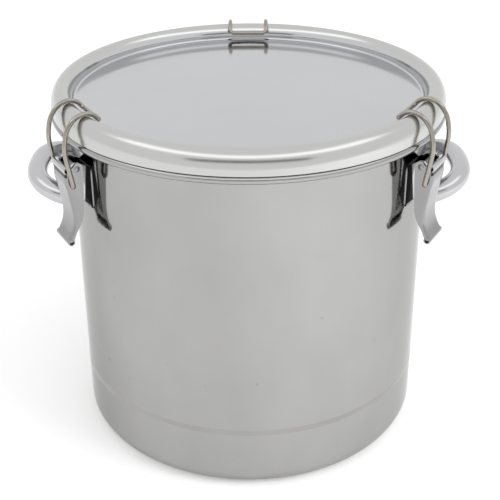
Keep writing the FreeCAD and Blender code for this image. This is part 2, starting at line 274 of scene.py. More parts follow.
def inside(nodes):
    """1 on the can's inner faces: they face its middle, and lie within the wall's radius."""
    from_middle = nodes.add("ShaderNodeVectorMath", {0: own_place(nodes)},
                            {1: (0, 0, INSIDE_MIDDLE * MM)}, operation="SUBTRACT")
    normal = nodes.add("ShaderNodeTexCoord").outputs["Normal"]
    facing = nodes.add("ShaderNodeVectorMath", {0: normal, 1: from_middle.outputs["Vector"]},
                       operation="DOT_PRODUCT").outputs["Value"]
    inward = arithmetic(nodes, "LESS_THAN", facing, 0.0)
    within = arithmetic(nodes, "LESS_THAN", axis_distance(nodes), (BODY_R + 0.3) * MM)
    return arithmetic(nodes, "MULTIPLY", inward, within)


body_steel = steel("body_steel", (0.408, 0.408, 0.403), (0.350, 0.350, 0.344), 0.07, 0.11,
                   (4.0, 4.0, 900.0), 0.02, 9.0, more=handled, edge=0.8)

flat_r = BODY_R - BASE_CORNER_R
dish_profile = np.vstack([
    run((6, SHEET), (flat_r, SHEET), 8),
    arc((flat_r, BASE_CORNER_R), BASE_CORNER_R - SHEET, -90, 0, 16),
    run((BODY_R - SHEET, BASE_CORNER_R + 2), (BODY_R - SHEET, SEAM_Z), 4),
    run((BODY_R - SHEET, SEAM_Z), (BODY_R, SEAM_Z), 1),
    run((BODY_R, SEAM_Z), (BODY_R, BASE_CORNER_R + 2), 4),
    arc((flat_r, BASE_CORNER_R), BASE_CORNER_R, 0, -90, 20),
    run((flat_r - 4, 0), (2, 0), 8),
])
piece("can_base", [lathed(dish_profile, (SHEET, 0))], "bottom_dish", "can",
      body_steel)

# ---- barrel ----
# The wall is a rolled and welded stainless sheet. Its top is spun out into a flat flange,
# whose edge is curled under so that it can't cut a hand.

CAN_HEIGHT = 294.8
FLANGE_BEND_R = 2.5
RIM_R = BODY_R + 14.3
RIM_ROLL_R = 3.1
RIM_ROLL_TURN = 240.0

bend = (BODY_R + FLANGE_BEND_R, CAN_HEIGHT - SHEET - FLANGE_BEND_R)
roll = (RIM_R - RIM_ROLL_R, CAN_HEIGHT - RIM_ROLL_R)
roll_end = 90 - RIM_ROLL_TURN
wall_profile = np.vstack([
    run((BODY_R - SHEET, bend[1]), (BODY_R - SHEET, SEAM_Z), 10),
    run((BODY_R - SHEET, SEAM_Z), (BODY_R, SEAM_Z), 1),
    run((BODY_R, SEAM_Z), (BODY_R, bend[1]), 12),
    arc(bend, FLANGE_BEND_R, 180, 90, 8),
    arc(roll, RIM_ROLL_R - SHEET, 90, roll_end, 18),
    arc(roll, RIM_ROLL_R, roll_end, 90, 26),
    arc(bend, FLANGE_BEND_R + SHEET, 90, 180, 9)[:-1],
])
piece("can_wall", [lathed(wall_profile)], "barrel", "can", body_steel)

# The girth weld round the seam, dressed nearly flush.
WELD_HALF = 2.6
WELD_PROUD = 0.17
WELD_DEPTH = 0.4
weld_arc = np.linspace(-1, 1, 9)
weld_profile = np.vstack([
    np.column_stack([BODY_R + WELD_PROUD * (1 - weld_arc ** 2), SEAM_Z + WELD_HALF * weld_arc]),
    [(BODY_R - WELD_DEPTH, SEAM_Z + WELD_HALF), (BODY_R - WELD_DEPTH, SEAM_Z - WELD_HALF)],
])
weld_steel = steel("weld_steel", (0.372, 0.366, 0.354), (0.335, 0.326, 0.31), 0.16, 0.28,
                   (180.0, 180.0, 60.0), 0.08, 26.0)
piece("seam_weld", [lathed(weld_profile)], None, "can", weld_steel)

# ---- loop handles ----
# Each handle is a stainless tube bent into a loop, sloping up, with both legs coped to the
# wall and welded all round.

HANDLE_TUBE_R = 8.5
HANDLE_OUT = 31.3
HANDLE_HALF_WIDTH = 44.5
LOOP_SQUARE = 2.5           # 2 is an ellipse, more is squarer
HANDLE_ROOT_Z = CAN_HEIGHT - 69.8
HANDLE_RISE = math.tan(math.radians(18.5))
INTO_WALL = 0.5             # how far welded pieces run into the sheet


def tube(route, radius, around):
    """A circle carried along a route, with its frame turned only as far as the route turns."""
    ahead = np.gradient(route, axis=0)
    ahead /= np.linalg.norm(ahead, axis=1)[:, None]
    side = np.empty_like(ahead)
    side[0] = np.cross(ahead[0], (0.3, 0.2, 0.93))
    for k in range(1, len(route)):
        side[k] = side[k - 1] - ahead[k] * side[k - 1].dot(ahead[k])
    side /= np.linalg.norm(side, axis=1)[:, None]
    up = np.cross(side, ahead)
    turn = np.linspace(0, 2 * np.pi, around, endpoint=False)[None, :, None]
    return route[:, None] + radius * (np.cos(turn) * side[:, None] + np.sin(turn) * up[:, None])


def turned(shape, degrees):
    """A shape built at azimuth 0, turned about the can's axis."""
    points, faces = shape
    turn = math.radians(degrees)
    spin = np.array([(math.cos(turn), math.sin(turn), 0), (-math.sin(turn), math.cos(turn), 0),
                     (0, 0, 1)])
    return points @ spin, faces


def on_handle(out, y):
    """A point of the handle's plane, which rises as it goes out from the wall."""
    return np.array([BODY_R + out, y, HANDLE_ROOT_Z + out * HANDLE_RISE])


def coped(points, direction, radius):
    """Points slid along a direction until they lie on a cylinder about the can's axis."""
    level = points[:, :2]
    a = direction[:2].dot(direction[:2])
    b = level @ direction[:2]
    c = np.einsum("ij,ij->i", level, level) - radius ** 2
    slide = (-b + np.sqrt(b * b - a * c)) / a
    return points + slide[:, None] * direction


leg_way = on_handle(1, 0) - on_handle(0, 0)
leg_way /= np.linalg.norm(leg_way)


def loop_route(square, steps):
    """Half of a squared-off ellipse: HANDLE_OUT and HANDLE_HALF_WIDTH times sine and cosine,
    each to the power 2 / square, in the handle's rising plane."""
    turn = np.linspace(0, np.pi, steps)
    out = HANDLE_OUT * np.abs(np.sin(turn)) ** (2 / square)
    y = -HANDLE_HALF_WIDTH * np.sign(np.cos(turn)) * np.abs(np.cos(turn)) ** (2 / square)
    return np.column_stack([BODY_R + out, y, HANDLE_ROOT_Z + out * HANDLE_RISE])


loop = loop_route(LOOP_SQUARE, 96)
into_wall = np.linspace(-5, -1, 3)[:, None] * (on_handle(1, 0) - on_handle(0, 0))
handle_route = np.vstack([loop[0] + into_wall, loop, loop[-1] + into_wall[::-1]])
rows = tube(handle_route, HANDLE_TUBE_R, 40)
for row in (0, -1):
    rows[row] = coped(rows[row], leg_way, BODY_R - INTO_WALL)
cope_centres = [coped(handle_route[[row]], leg_way, BODY_R - INTO_WALL)[0] for row in (0, -1)]
handle_shape = skin(rows, cope_centres)

# The weld fillet round a leg: from a ring on the tube to a ring on the wall, bulged between.
FILLET = 2.6
FILLET_BULGE = 0.0686       # share of the fillet
RIPPLES = 34
RIPPLE = 0.10               # share of the fillet
FILLET_TUCK = 0.1           # its rings lie this far under the tube's and the wall's faces


def leg_weld(y):
    """Fillet from a ring on the tube to a wider ring on the wall, rippled as it was laid."""
    turn = np.linspace(0, 2 * np.pi, 96, endpoint=False)
    across = np.array([0.0, 1.0, 0.0])
    up = np.cross(leg_way, across)
    ring = np.cos(turn)[:, None] * across + np.sin(turn)[:, None] * up
    start = on_handle(0, y)
    ripple = 1 + RIPPLE * np.sin(RIPPLES * turn)[:, None]
    wall_r = BODY_R - FILLET_TUCK
    on_tube = coped(start + (HANDLE_TUBE_R - FILLET_TUCK) * ring, leg_way, wall_r)
    on_wall = coped(start + (HANDLE_TUBE_R + FILLET * ripple) * ring, leg_way, wall_r)
    stand = on_tube + FILLET * leg_way
    share = np.linspace(0, 1, 7)[:, None, None]
    bulge = FILLET_BULGE * np.sin(np.pi * share) * FILLET * (ring + leg_way) * ripple
    face = (1 - share) * stand + share * on_wall - bulge
    return skin(np.concatenate([face, on_tube[None]]))


handle_steel = steel("handle_steel", (0.55, 0.55, 0.565), (0.50, 0.50, 0.51), 0.18, 0.26,
                     (60.0, 60.0, 60.0), 0.03)
handle_parts = [handle_shape] + [leg_weld(side * HANDLE_HALF_WIDTH) for side in (-1, 1)]
for where, degrees in (("left", 180), ("right", 0)):
    piece(where + "_loop", [turned(part, degrees) for part in handle_parts], where + "_handle", "can",
          handle_steel)

# ---- clip brackets ----
# Each clip hangs on a small stamped bracket: a pad welded to the wall along both sides, and
# two ears that carry the lever's pin. The stampings are polished and bright.

CLIPS = {"left": 210.0, "right": 330.0, "rear": 90.0}
PIVOT = (BODY_R + 11.5, CAN_HEIGHT - 24.3)
EAR_CHIN = (BODY_R + 7.0, CAN_HEIGHT - 52.8)
LEVER_HALF_WIDTH = 13.5
LEVER_SHEET = 1.2
EAR_HALF_WIDTH = LEVER_HALF_WIDTH - LEVER_SHEET - 0.5
EAR_SHEET = 2.0
EAR_BOSS_R = 4.6
EAR_EDGE_R = 0.35
PAD_OUT = 1.5
PAD_TOP_Z = CAN_HEIGHT - 26.3
PAD_FOOT_Z = CAN_HEIGHT - 61.3


def touch(outside, centre, radius, side):
    """Direction, in degrees, from a circle's centre to where a line from a point touches it."""
    dx, dz = centre[0] - outside[0], centre[1] - outside[1]
    swing = math.atan2(dz, dx) + side * math.acos(radius / math.hypot(dx, dz)) + math.pi
    return math.degrees(swing)


def plate(outline, low, high, edge):
    """An (x, z) outline carried along Y, drawn in at both faces by a quarter-round edge."""
    ahead = np.roll(outline, -1, axis=0) - np.roll(outline, 1, axis=0)
    ahead /= np.linalg.norm(ahead, axis=1)[:, None]
    inward = np.column_stack([-ahead[:, 1], ahead[:, 0]])
    area = np.sum(outline[:, 0] * np.roll(outline[:, 1], -1)
                  - np.roll(outline[:, 0], -1) * outline[:, 1])
    inward *= np.sign(area)
    turn = np.linspace(0, np.pi / 2, 4)
    draw = np.concatenate([edge * (1 - np.sin(turn)), edge * (1 - np.cos(turn))])
    along = np.concatenate([low + edge * (1 - np.cos(turn)), high - edge * (1 - np.sin(turn))])
    flat = outline[None] + draw[:, None, None] * inward[None]
    rows = np.stack([flat[..., 0], np.repeat(along[:, None], len(outline), axis=1), flat[..., 1]],
                    axis=-1)
    return skin(rows, "flat")


def close_points(corners, step):
    """The corners of an outline with extra points along its long runs."""
    runs = []
    for a, b in zip(corners, np.roll(corners, -1, axis=0)):
        runs.append(run(a, b, max(1, int(np.hypot(*(b - a)) / step))))
    return np.vstack(runs)


SPREAD = (30.0, 30.0, 30.0)
# Painted light on the levers: a painted highlight over the top of the top roll, and a painted shade
# line in the crease under the roll.
ROLL_BACK_R = BODY_R + 17.4
ROLL_HIGHLIGHT_START_Z, ROLL_HIGHLIGHT_FULL_Z = PIVOT[1] - 2.7, PIVOT[1] - 2.2
ROLL_HIGHLIGHT_TONE = (0.52, 0.52, 0.53)
CREASE_Z = PIVOT[1] - 4.3   # the crease under the lever's top roll
CREASE_FULL, CREASE_END = 1.3, 1.8
CREASE_BACK_R, CREASE_FRONT_R = BODY_R + 20.2, BODY_R + 20.6
CREASE_SHADE_TONE = (0.03, 0.03, 0.03)
# Painted dark reflection on the brackets: a near-black band on the stamping next to the wall.
DARK_BAND_FULL, DARK_BAND_END = 181.6, 182.4    # how far out the painted dark reflection reaches at ground height
DARK_BAND_LEAN = 0.10                       # and how much less it reaches for each millimetre up
DARK_BAND_TONE = (0.025, 0.025, 0.025)


def roll_highlight_and_crease_shade(nodes, colour):
    """Painted highlight on the lever's top roll, and a painted shade line in the crease under it."""
    up, out = height(nodes), axis_distance(nodes)
    # Painted highlight: a lighter tone over the upper, outer part of the top roll.
    highlit = remap(nodes, up, ROLL_HIGHLIGHT_START_Z * MM, ROLL_HIGHLIGHT_FULL_Z * MM, 0.0, 1.0)
    on_roll = arithmetic(nodes, "GREATER_THAN", out, ROLL_BACK_R * MM)
    colour = tinted(nodes, colour, arithmetic(nodes, "MULTIPLY", highlit, on_roll), ROLL_HIGHLIGHT_TONE)
    # Painted shade: a near-black line on the web's face, in the crease under the top roll.
    off = arithmetic(nodes, "ABSOLUTE", arithmetic(nodes, "SUBTRACT", up, CREASE_Z * MM))
    line = remap(nodes, off, CREASE_FULL * MM, CREASE_END * MM, 1.0, 0.0)
    face = remap(nodes, out, CREASE_BACK_R * MM, CREASE_FRONT_R * MM, 0.0, 1.0)
    return tinted(nodes, colour, arithmetic(nodes, "MULTIPLY", line, face), CREASE_SHADE_TONE)


def painted_dark_band(nodes, colour):
    """Painted dark reflection: a near-black band on the stamping near the wall, wider towards the
    foot.
    """
    lean = arithmetic(nodes, "MULTIPLY", height(nodes), DARK_BAND_LEAN)
    reach = arithmetic(nodes, "ADD", axis_distance(nodes), lean)
    darkened = remap(nodes, reach, DARK_BAND_FULL * MM, DARK_BAND_END * MM, 1.0, 0.0)
    return tinted(nodes, colour, darkened, DARK_BAND_TONE)


# The levers' chrome carries a painted highlight on the top roll and a painted shade in the crease
# under it.
chrome = steel("clip_chrome", (0.325, 0.325, 0.33), (0.28, 0.28, 0.28), 0.06, 0.10, SPREAD, 0.03,
               40.0, more=roll_highlight_and_crease_shade)
# The brackets' steel carries a painted dark reflection along the wall.
bracket_steel = steel("bracket_steel", (0.62, 0.62, 0.63), (0.56, 0.56, 0.57), 0.05, 0.09, SPREAD,
                      0.03, 40.0, more=painted_dark_band)
wall_x = BODY_R - INTO_WALL - 0.3       # the wall curves away under the ears
lower_touch = (touch(EAR_CHIN, PIVOT, EAR_BOSS_R, 1) + 180) % 360 - 180
upper_touch = touch((wall_x, PAD_TOP_Z), PIVOT, EAR_BOSS_R, -1) % 360
ear_outline = np.vstack([[(wall_x, PAD_FOOT_Z)], [EAR_CHIN],
                         arc(PIVOT, EAR_BOSS_R, lower_touch, upper_touch, 20),
                         [(wall_x, PAD_TOP_Z)]])
ear_outline = close_points(ear_outline, 3.0)


def pad():
    """Curved pad: outer and inner arcs about the can's axis, carried up from foot to top."""
    half = math.asin(EAR_HALF_WIDTH / BODY_R)
    turn = np.linspace(-half, half, 15)
    soft = np.array([0.0, 0.15, 0.5])
    z = np.concatenate([PAD_FOOT_Z + soft, PAD_TOP_Z - soft[::-1]])
    outer = BODY_R + PAD_OUT - np.concatenate([soft[::-1], soft])
    inner = np.full(len(z), BODY_R - INTO_WALL)
    spread = [np.stack([r[:, None] * np.cos(t), r[:, None] * np.sin(t),
                        np.repeat(z[:, None], len(turn), axis=1)], axis=-1)
              for r, t in ((outer, turn), (inner, turn[::-1]))]
    return skin(np.concatenate(spread, axis=1), "flat")


PAD_WELD_R = 1.0
PAD_WELD_SHORT = 1.0        # it stops this far from the pad's ends


def weld_strip(side):
    """Thin bead along one side of a pad: a circle carried up, drawn in towards both ends."""
    around = 14
    share = np.linspace(0, 1, 24)
    z = PAD_FOOT_Z + PAD_WELD_SHORT + (PAD_TOP_Z - PAD_FOOT_Z - 2 * PAD_WELD_SHORT) * share
    y = side * (EAR_HALF_WIDTH + 0.5)
    x = math.sqrt(BODY_R ** 2 - y ** 2)
    turn = np.linspace(0, 2 * np.pi, around, endpoint=False)[None]
    bulk = (PAD_WELD_R * np.sqrt(np.clip(1 - (2 * share - 1) ** 10, 0.04, 1)))[:, None]
    rows = np.stack([x + bulk * np.cos(turn), y + bulk * np.sin(turn),
                     np.repeat(z[:, None], around, axis=1)], axis=-1)
    return skin(rows, [(x, y, z[0] - 0.2), (x, y, z[-1] + 0.2)])


for where, degrees in CLIPS.items():
    ears = [plate(ear_outline, low, low + EAR_SHEET, EAR_EDGE_R)
            for low in (-EAR_HALF_WIDTH, EAR_HALF_WIDTH - EAR_SHEET)]
    piece(where + "_clip_bracket", [turned(part, degrees) for part in [pad()] + ears],
          where + "_bracket", "can", bracket_steel)
    strips = [turned(weld_strip(side), degrees) for side in (-1, 1)]
    piece(where + "_pad_welds", strips, None, "can", chrome)

# ---- lever pins ----
# A steel rivet goes through each bracket's ears and its lever's flanges. Both its ends are
# closed to low domed heads.

PIN_R = 2.0
PIN_HEAD_R = 2.6
PIN_HEAD_Y = LEVER_HALF_WIDTH
PIN_PROUD = 0.05            # the head's rim stands this far off the flange
PIN_DOME = 0.5
PIN_TUCK = 0.1              # and its neck starts this far inside it
PIN_END_Y = PIN_HEAD_Y + PIN_PROUD + PIN_DOME


def spun(profile, centre, around, ends=None):
    """Each (r, y) of the profile carried round an axis along Y through an (x, z) centre."""
    turn = np.linspace(0, 2 * np.pi, around, endpoint=False)
    radius = profile[:, 0][:, None]
    rows = np.stack([centre[0] + radius * np.cos(turn),
                     np.repeat(profile[:, 1][:, None], around, axis=1),
                     centre[1] + radius * np.sin(turn)], axis=-1)
    poles = None if ends is None else [(centre[0], y, centre[1]) for y in ends]
    return skin(rows, poles)


dome = np.linspace(0.1, 1, 8)
head = np.column_stack([PIN_HEAD_R * dome, PIN_HEAD_Y + PIN_PROUD + PIN_DOME * (1 - dome ** 2)])
neck_y = PIN_HEAD_Y - PIN_TUCK
head = np.vstack([head, [(PIN_HEAD_R - 0.05, neck_y), (PIN_R, neck_y)]])
pin_profile = np.vstack([head * (1, -1), head[::-1]])
for where, degrees in CLIPS.items():
    pin = spun(pin_profile, PIVOT, 32, (-PIN_END_Y, PIN_END_Y))
    piece(where + "_rivet", [turned(pin, degrees)], where + "_lever_pin", "can",
          chrome)

# ---- clip levers ----
# Each lever is a stamped channel: a curved web rolled over at both ends, and two crescent
# flanges that are wide round the pin and run out to nothing at the tip.

LEVER_TOP_ROLL = (BODY_R + 19.8, CAN_HEIGHT - 24.3)
LEVER_TOP_ROLL_R = 2.8
LEVER_END_ROLL = (BODY_R + 21.0, CAN_HEIGHT - 86.8)
LEVER_END_ROLL_R = 2.8
LEVER_TOP_LEAN = -62        # directions, in degrees, in which the web leaves its two rolls
LEVER_END_LEAN = 28.7
LEVER_TAIL_LEAN = 150       # and in which the flanges' back edge meets the lower one
LEVER_BOSS_R = 5.0
LEVER_BEND_R = 2.2          # outside of the bend between web and flange
# Out from the wall and down from the flange's top: the web's face, and the flanges' back edge.
WEB = [(21.2, 29.3), (21.6, 32.8), (20.1, 42.3), (18.6, 51.8), (17.2, 61.8), (17.0, 68.3),
       (18.2, 75.3), (20.7, 81.0)]
BACK = [(6.7, 34.8), (7.4, 46.8), (8.2, 58.8), (10.6, 69.8), (15.3, 77.8)]


def by_wall(out, down):
    """Radius and height of a point out from the wall and down from the flange's top."""
    return (BODY_R + out, CAN_HEIGHT - down)


def smooth_through(knots, steps):
    """Natural cubic spline through knots, by chord length, at even steps of its parameter."""
    knots = np.array(knots, float)
    at = np.concatenate([[0], np.cumsum(np.hypot(*np.diff(knots, axis=0).T))])
    gap = np.diff(at)
    count = len(knots)
    system = np.eye(count)
    right = np.zeros_like(knots)
    inner = np.arange(1, count - 1)
    system[inner, inner - 1] = gap[:-1]
    system[inner, inner] = 2 * (gap[:-1] + gap[1:])
    system[inner, inner + 1] = gap[1:]
    slope = np.diff(knots, axis=0) / gap[:, None]
    right[1:-1] = 3 * (slope[1:] - slope[:-1])
    curve = np.linalg.solve(system, right)
    where = np.linspace(0, at[-1], steps)
    k = np.clip(np.searchsorted(at, where, side="right") - 1, 0, count - 2)
    t = (where - at[k])[:, None]
    h = gap[k][:, None]
    linear = slope[k] - h * (2 * curve[k] + curve[k + 1]) / 3
    cubic = (curve[k + 1] - curve[k]) / (3 * h)
    return knots[k] + linear * t + curve[k] * t ** 2 + cubic * t ** 3


def even(points, steps):
    """The same line with its points spaced evenly along it."""
    at = np.concatenate([[0], np.cumsum(np.hypot(*np.diff(points, axis=0).T))])
    where = np.linspace(0, at[-1], steps)
    return np.column_stack([np.interp(where, at, points[:, k]) for k in (0, 1)])


def channel():
    """Web and flanges as one bent sheet: outer and inner faces, each a grid.

    Station i has a point on the web's face and a point on the flange's back edge; the columns
    go from the back edge along the flange, round the bend, across the web and back again.
    """
    stations = 72
    top = arc(LEVER_TOP_ROLL, LEVER_TOP_ROLL_R - 0.1, LEVER_TOP_LEAN, LEVER_TOP_LEAN, 1)[0]
    end = arc(LEVER_END_ROLL, LEVER_END_ROLL_R, LEVER_END_LEAN, LEVER_END_LEAN, 1)[0]
    web = even(smooth_through([top] + [by_wall(*p) for p in WEB] + [end], 400), stations)
    heel = arc(PIVOT, LEVER_BOSS_R, 90, 180, 40)
    tail = arc(LEVER_END_ROLL, LEVER_END_ROLL_R - 0.2, LEVER_TAIL_LEAN, LEVER_TAIL_LEAN, 1)[0]
    back = smooth_through([heel[-1]] + [by_wall(*p) for p in BACK] + [tail], 400)
    back = even(np.vstack([heel[:-1], back]), stations)
    along = np.gradient(web, axis=0)
    along /= np.linalg.norm(along, axis=1)[:, None]
    inward = np.column_stack([along[:, 1], -along[:, 0]])
    turn = np.linspace(0, np.pi / 2, 7)
    faces = []
    for inset in (0.0, LEVER_SHEET):
        half = LEVER_HALF_WIDTH - inset
        bend_r = LEVER_BEND_R - inset
        depth = inset + bend_r * (1 - np.sin(turn))
        y = -half + bend_r * (1 - np.cos(turn))
        across = np.linspace(y[-1], -y[-1], 9)[1:-1]
        depth = np.concatenate([depth, np.full(len(across), inset), depth[::-1]])
        y = np.concatenate([y, across, -y[::-1]])
        grid = web[:, None] + depth[None, :, None] * inward[:, None]
        grid = np.concatenate([back[:, None], grid, back[:, None]], axis=1)
        y = np.concatenate([[-half], y, [half]])
        faces.append(np.stack([grid[..., 0], np.repeat(y[None], stations, axis=0), grid[..., 1]],
                              axis=-1))
    return walled(faces[0], faces[1])


def walled(outer, inner):
    """Solid between two grids of the same size, closed along all four borders."""
    count, width = outer.shape[:2]
    ring = np.concatenate([outer, inner[:, ::-1]], axis=1)
    points, faces = skin(ring, "flat")
    faces = [face for face in faces if len(face) == 4]
    flip = faces[0][1] != width * 2
    for row in (0, count - 1):
        base = row * 2 * width
        j = np.arange(width - 1)
        ends = np.column_stack([base + j, base + j + 1, base + 2 * width - 2 - j,
                                base + 2 * width - 1 - j])
        if (row == 0) == flip:
            ends = ends[:, ::-1]
        faces += ends.tolist()
    return points, faces


def open_roll(centre, radius):
    """Rolled end of the web: a short tube with softened rims."""
    half, wall, soft = LEVER_HALF_WIDTH, LEVER_SHEET, 0.25
    inner = radius - wall
    outline = np.vstack([
        arc((radius - soft, half - soft), soft, 0, 90, 4),
        arc((inner + soft, half - soft), soft, 90, 180, 4),
        arc((inner + soft, -half + soft), soft, 180, 270, 4),
        arc((radius - soft, -half + soft), soft, -90, 0, 4),
    ])
    return spun(outline, centre, 36)


lever_parts = [channel(), open_roll(LEVER_TOP_ROLL, LEVER_TOP_ROLL_R),
               open_roll(LEVER_END_ROLL, LEVER_END_ROLL_R)]
for where, degrees in CLIPS.items():
    piece(where + "_clip_lever", [turned(part, degrees) for part in lever_parts],
          where + "_lever", where + "_lever", chrome)

# ---- lid ----
# The lid is one stainless pressing: a flat recessed panel, a tall rounded bead that straddles
# the can's flange, and a short skirt. It is mopped bright.

LID_SHEET = 1.0
LID_GAP = 0.3
PANEL_Z = CAN_HEIGHT + 6.0
PANEL_FILLET_R = 2.0
BEAD_INNER_R = BODY_R - 4.4
BEAD_CREST = (BODY_R + 3.6, CAN_HEIGHT + 18.8)
BEAD_SHOULDER_Z = CAN_HEIGHT + 5.3
SKIRT_R = RIM_R - 1.0
SKIRT_EDGE_R = 0.25


def bead(inset, side, steps):
    """A quarter ellipse of the bead from its flank up to its crest, inset from the outside."""
    foot = PANEL_Z + PANEL_FILLET_R if side < 0 else BEAD_SHOULDER_Z
    reach = BEAD_CREST[0] - BEAD_INNER_R if side < 0 else SKIRT_R - BEAD_CREST[0]
    turn = np.linspace(0, np.pi / 2, steps)
    return np.column_stack([BEAD_CREST[0] + side * (reach - inset) * np.cos(turn),
                            foot + (BEAD_CREST[1] - foot - inset) * np.sin(turn)])


panel_r = BEAD_INNER_R - PANEL_FILLET_R
fillet = (panel_r, PANEL_Z + PANEL_FILLET_R)
edge_z = CAN_HEIGHT + LID_GAP + SKIRT_EDGE_R
lid_profile = np.vstack([
    run((6, PANEL_Z), (panel_r, PANEL_Z), 12),
    arc(fillet, PANEL_FILLET_R, -90, 0, 8)[:-1],
    bead(0, -1, 22), bead(0, 1, 24)[::-1][1:],
    run((SKIRT_R, BEAD_SHOULDER_Z - 0.6), (SKIRT_R, edge_z), 4),
    arc((SKIRT_R - SKIRT_EDGE_R, edge_z), SKIRT_EDGE_R, 0, -90, 4),
    arc((SKIRT_R - LID_SHEET + SKIRT_EDGE_R, edge_z), SKIRT_EDGE_R, -90, -180, 4),
    bead(LID_SHEET, 1, 20), bead(LID_SHEET, -1, 20)[::-1][1:-1],
    arc(fillet, PANEL_FILLET_R + LID_SHEET, 0, -90, 8),
    run((panel_r - 6, PANEL_Z - LID_SHEET), (6, PANEL_Z - LID_SHEET), 8),
])
BEAD_TONE = (0.540, 0.541, 0.527)
BEAD_ROUGHER = 0.08
BLEND_START_R, BLEND_END_R = BEAD_INNER_R - 0.1, BEAD_INNER_R + 2.9


def on_bead(nodes, colour):
    """The spun bead is a little rougher and warmer than the panel, from the fillet outwards."""
    share = remap(nodes, axis_distance(nodes), BLEND_START_R * MM, BLEND_END_R * MM, 0.0, 1.0)
    polish = nodes.shader.inputs["Roughness"].links[0].from_socket
    nodes.to_shader("Roughness", arithmetic(nodes, "MULTIPLY_ADD", share, BEAD_ROUGHER, polish))
    return tinted(nodes, colour, share, BEAD_TONE)


lid_steel = steel("lid_steel", (0.563, 0.566, 0.582), (0.543, 0.546, 0.561), 0.09, 0.13, 1100.0,
                  0.015, more=on_bead, edge=0.92)
piece("lid_pressing", [lathed(lid_profile, (PANEL_Z, PANEL_Z - LID_SHEET))], "lid", "lid",
      lid_steel)

# ---- gasket ----
# The gasket is a hollow ring moulded from pale silicone. It fills the lid's bead, lifts with
# the lid, and its flat foot seats on the can's flange.

GASKET_INSET = LID_SHEET + 0.2
GASKET_EDGE_R = 0.5
gasket_z = CAN_HEIGHT + LID_GAP + GASKET_EDGE_R
gasket_profile = np.vstack([
    bead(GASKET_INSET, -1, 16), bead(GASKET_INSET, 1, 16)[::-1][1:],
    arc((SKIRT_R - GASKET_INSET - GASKET_EDGE_R, gasket_z), GASKET_EDGE_R, 0, -90, 5),
    arc((BODY_R + 1.0, gasket_z), GASKET_EDGE_R, -90, -150, 4),
    [(BEAD_INNER_R + GASKET_INSET, PANEL_Z)],
])
silicone = Finish("silicone")
clouds = stretched(silicone, (60.0, 60.0, 60.0))
milk = silicone.add("ShaderNodeMix", {"Factor": ranged(silicone, clouds, 0.0, 1.0)},
                    data_type="RGBA")
milk.inputs[6].default_value = (0.70, 0.69, 0.66, 1)
milk.inputs[7].default_value = (0.78, 0.77, 0.745, 1)
silicone.to_shader("Base Color", milk.outputs[2])
silicone.to_shader("Roughness", ranged(silicone, stretched(silicone, (300.0, 300.0, 300.0)),
                                       0.42, 0.58))
silicone.shader.inputs["Subsurface Weight"].default_value = 0.2
silicone.shader.inputs["Subsurface Scale"].default_value = 0.003
piece("seal_ring", [lathed(gasket_profile)], "lid_gasket", "lid", silicone.material)

# ---- clip bails ----
# Each bail is one spring wire: turned-in ends in the lever's flanges, two bowed arms that go
# up over the bead, and a crossbar that hooks behind it.

WIRE_R = 1.9
BAIL_PIVOT = by_wall(16.3, 38.0)
BAIL_CLEAR = 1.6            # between a lever's flange and the wire beside it
BAIL_HALF_WIDTH = LEVER_HALF_WIDTH + BAIL_CLEAR + WIRE_R
BAIL_STUB_Y = LEVER_HALF_WIDTH - LEVER_SHEET - 2.0
BAIL_END_BEND_R = 0.9 * (BAIL_CLEAR + WIRE_R)
BAIL_HOOK_BEND_R = 4.0
BEND_SHARE = 0.45           # of the shorter run, given to each free bend


def by_crest(out, up):
    """Radius and height of a point out from the bead's crest and up from a wire lying on it."""
    return (BEAD_CREST[0] + out, BEAD_CREST[1] + WIRE_R + up)


def arc_through(start, middle, end, steps):
    """Points on the circle through three: its centre from the two chords, the radius turned."""
    chord, other = middle - start, end - start
    axis = np.cross(chord, other)
    centre = start + (np.cross(axis, chord) * other.dot(other)
                      + np.cross(other, axis) * chord.dot(chord)) / (2 * axis.dot(axis))
    first = start - centre
    side = np.cross(axis / np.linalg.norm(axis), first)
    last = end - centre
    sweep = np.arctan2(last.dot(side), last.dot(first)) % (2 * np.pi)
    turn = np.linspace(0, sweep, steps)[:, None]
    return centre + np.cos(turn) * first + np.sin(turn) * side


def bent(corners, fixed):
    """Straight runs through corners, each corner rounded by an arc tangent to both runs."""
    points = [corners[:1]]
    for k in range(1, len(corners) - 1):
        back, ahead = corners[k - 1] - corners[k], corners[k + 1] - corners[k]
        shorter = min(np.linalg.norm(back), np.linalg.norm(ahead))
        back, ahead = back / np.linalg.norm(back), ahead / np.linalg.norm(ahead)
        half_turn = 0.5 * (math.pi - math.acos(back.dot(ahead)))
        radius = fixed.get(k, BEND_SHARE * shorter / math.tan(half_turn))
        trim = radius * math.tan(half_turn)
        inward = (back + ahead) / np.linalg.norm(back + ahead)
        middle = corners[k] + inward * (radius / math.cos(half_turn) - radius)
        steps = 6 + int(math.degrees(half_turn) / 4)
        points.append(arc_through(corners[k] + back * trim, middle, corners[k] + ahead * trim,
                                  steps))
    points.append(corners[-1:])
    return np.vstack(points)


